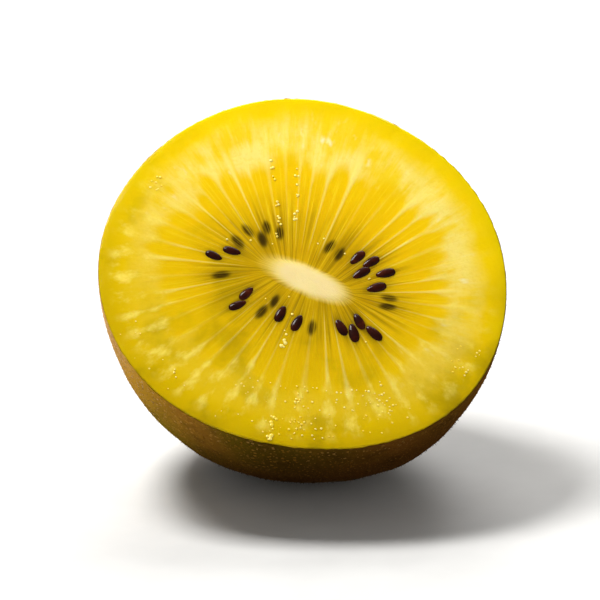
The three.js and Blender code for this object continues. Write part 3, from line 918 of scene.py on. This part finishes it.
def addPores():
    # low domes: a ring round each place, a point above it and one below
    rng = np.random.default_rng(pores["seed"])
    count, sides = pores["count"], pores["sides"]
    middle, normal, side, third = scatterOnSkin(count, pores["lowest"], rng)
    least, most = pores["radius"]
    radius = least + (most - least) * rng.random((count, 1, 1)) ** pores["fewLarge"]
    height = rng.uniform(*pores["height"], (count, 1, 1))
    turn = onceRound(sides)[None, :, None] + rng.uniform(0, 1, (count, 1, 1))
    ring = middle + radius * (np.cos(turn) * side + np.sin(turn) * third)
    corners = offFloor(np.concatenate([ring, middle + height * normal, middle - height * normal], 1))
    around = np.arange(sides)
    onward = (around + 1) % sides
    cap = np.stack([around, onward, np.full(sides, sides)], -1)
    base = np.stack([onward, around, np.full(sides, sides + 1)], -1)
    faces = np.arange(len(corners))[:, None, None] * (sides + 2) + np.concatenate([cap, base])[None]
    points = corners.reshape(-1, 3)
    marks = {"height": litShare(points)}
    surfacePiece("skinPores", toSeat(points), [faces.reshape(-1, 3)], poreMaterial(), marks)


addPores()
print("pores raised on the skin")

down = dict(
    count=3600, length=(0.15, 0.38), width=0.03, taper=0.7, rootDepth=0.05, lowest=0.42, seed=47,
    bend=((0.45, 0.15), (0.75, 0.6)),  # up and over, half way and at the tip, in lengths
)


def downMaterial():
    # what is left of the down: dry, thin, translucent hairs, pale tan against the skin
    material, tree, place = newMaterial("fineDown")
    tint = addNode(tree, "TexNoise", {"Vector": place, "Scale": perMillimetre(4), "Detail": 2.0})["Fac"]
    colour = addNode(tree, "ValToRGB", {"Fac": tint}, ((0.35, "#8A5E20"), (0.65, "#C89C58")))["Color"]
    addSkinTones(tree, colour, 0.7)
    return material


def addDown():
    # short bent hairs: three corners at the root, three half way up and leaning over, and a tip
    rng = np.random.default_rng(down["seed"])
    count = down["count"]
    middle, normal, side, third = scatterOnSkin(count, down["lowest"], rng)
    lying = rng.uniform(0, 2 * math.pi, (count, 1, 1))
    over = np.cos(lying) * side + np.sin(lying) * third
    length = rng.uniform(*down["length"], (count, 1, 1))
    turn = np.radians([0, 120, 240])[None, :, None]
    spread = down["width"] * (np.cos(turn) * side + np.sin(turn) * third)
    root = middle - down["rootDepth"] * normal + spread
    (halfUp, halfOver), (tipUp, tipOver) = down["bend"]
    half = middle + length * (halfUp * normal + halfOver * over) + down["taper"] * spread
    tip = middle + length * (tipUp * normal + tipOver * over)
    corners = offFloor(np.concatenate([root, half, tip], 1))
    first = np.array([0, 1, 2])
    onward = np.array([1, 2, 0])
    lower = np.stack([first, onward, onward + 3, first + 3], -1)
    upper = np.stack([first + 3, onward + 3, np.full(3, 6)], -1)
    start = np.arange(len(corners))[:, None, None] * 7
    faces = [(start + lower).reshape(-1, 4), (start + np.concatenate([upper, [[2, 1, 0]]])).reshape(-1, 3)]
    points = corners.reshape(-1, 3)
    surfacePiece("skinDown", toSeat(points), faces, downMaterial(), {"height": litShare(points)})


addDown()
print("down grown on the skin")

calyx = dict(
    radius=8.4, gap=0.3, base=0.45, waves=0.2, thinnest=0.15, floor=0.1, columns=330, rings=110,
    rimAt=7.7, rimWidth=0.6, rimHeight=0.8, stumpWidth=1.1, stumpHeight=0.6,
    ringAt=4.6, ringWidth=1.6, ringHeight=0.95, sepals=5, lumps=11,
    strands=(3.4, 21), strandAt=4.8, strandWidth=2.6, strandHeight=0.4,  # size and seed
    pits=(2.2, 22), pitStart=0.25, pitAt=5.4, pitWidth=1.8, pitDepth=1.3,
    grain=(1.1, 23), grainHeight=0.12,
)


def calyxThickness(angle, radius):
    # a thin disc, a raised rim, a lumpy ring of shrivelled sepals and a stump: bells round the middle
    fade = np.minimum(radius, 1)
    folds = 0.3 * np.cos(calyx["sepals"] * angle) + 0.3 * np.sin(calyx["lumps"] * angle)
    ring = calyx["ringHeight"] * (1 + fade * folds) * bump((radius - calyx["ringAt"]) / calyx["ringWidth"])
    rim = calyx["rimHeight"] * bump((radius - calyx["rimAt"]) / calyx["rimWidth"])
    stump = calyx["stumpHeight"] * bump(radius / calyx["stumpWidth"])
    return calyx["base"] + rim + ring + stump


def calyxMaterial():
    # dried sepals: papery and fibrous, dull tan, darker the thinner they are: cream ridges and deep brown
    # clefts and pits
    material, tree, place = newMaterial("driedSepals")
    raised = addNode(tree, "Attribute", attribute_name="raised")["Fac"]
    grain = addNode(tree, "TexNoise", {
        "Vector": place, "Scale": perMillimetre(0.9), "Detail": 5.0, "Roughness": 0.7,
    })["Fac"]
    tone = addNode(tree, "Math", {0: grain, 1: 0.5, 2: -0.25}, **timesPlus)[0]
    tone = addNode(tree, "Math", {0: tone, 1: raised}, operation="ADD")[0]
    colour = addNode(tree, "ValToRGB", {"Fac": tone}, (
        (0.05, "#160A03"), (0.3, "#4A2A10"), (0.47, "#8E5A26"), (0.66, "#BE8C4A"), (0.9, "#E6CE98"),
    ))["Color"]
    relief = addNode(tree, "Bump", {"Height": grain, "Strength": 0.7, "Distance": 0.00012})["Normal"]
    shader = addNode(tree, "BsdfPrincipled", {
        "Base Color": colour, "Normal": relief, "Roughness": 0.8, "IOR": 1.45, "Sheen Weight": 0.2,
    })
    addNode(tree, "OutputMaterial", {"Surface": shader["BSDF"]})
    return material


def addCalyx():
    # the underside follows the hollow's floor, and the outside stands off it by the thickness.
    # Strands are ridges, 1 - |noise|, drawn out along the radius, and pits are the noise's highest parts.
    angle = onceRound(calyx["columns"])[None]
    underside = np.array([2.0, 4.0, 6.0, 8.0])[:, None]
    outside = np.linspace(calyx["radius"], 0, calyx["rings"] + 1)[:-1, None]
    angles, radii = np.broadcast_arrays(angle, np.concatenate([underside, outside]))
    radii = radii * (1 + calyx["waves"] * np.cos(calyx["sepals"] * angles) / calyx["radius"])
    points = polar(radii, angles, 0 * radii)
    spread = polar(8, angles, 0.45 * radii)
    strands = 1 - np.abs(ripple(spread, *calyx["strands"])) * 1.6
    pits = np.maximum(ripple(points, *calyx["pits"]) - calyx["pitStart"], 0)
    grain = ripple(points, *calyx["grain"]) * np.minimum(radii, 1)
    thickness = calyxThickness(angles, radii) + calyx["grainHeight"] * grain
    thickness += calyx["strandHeight"] * strands * bump((radii - calyx["strandAt"]) / calyx["strandWidth"])
    thickness -= calyx["pitDepth"] * pits * bump((radii - calyx["pitAt"]) / calyx["pitWidth"])
    thickness = np.maximum(thickness, calyx["thinnest"])
    outerRow = len(underside)
    thickness[:outerRow] = 0
    thickness[outerRow] *= 0.5
    points[..., 2] = fruit["hollowDepth"] - calyx["gap"] - depthAt(radii / outlineRadius(angles)) - thickness
    vertices, faces = closedRings(points)
    marks = {"raised": ringMarks(thickness / 2.0)}
    piece = surfacePiece("calyx", toSeat(vertices, calyx["floor"]), faces, calyxMaterial(), marks)
    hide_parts("dried_calyx")


addCalyx()
print("calyx crumpled in its hollow")
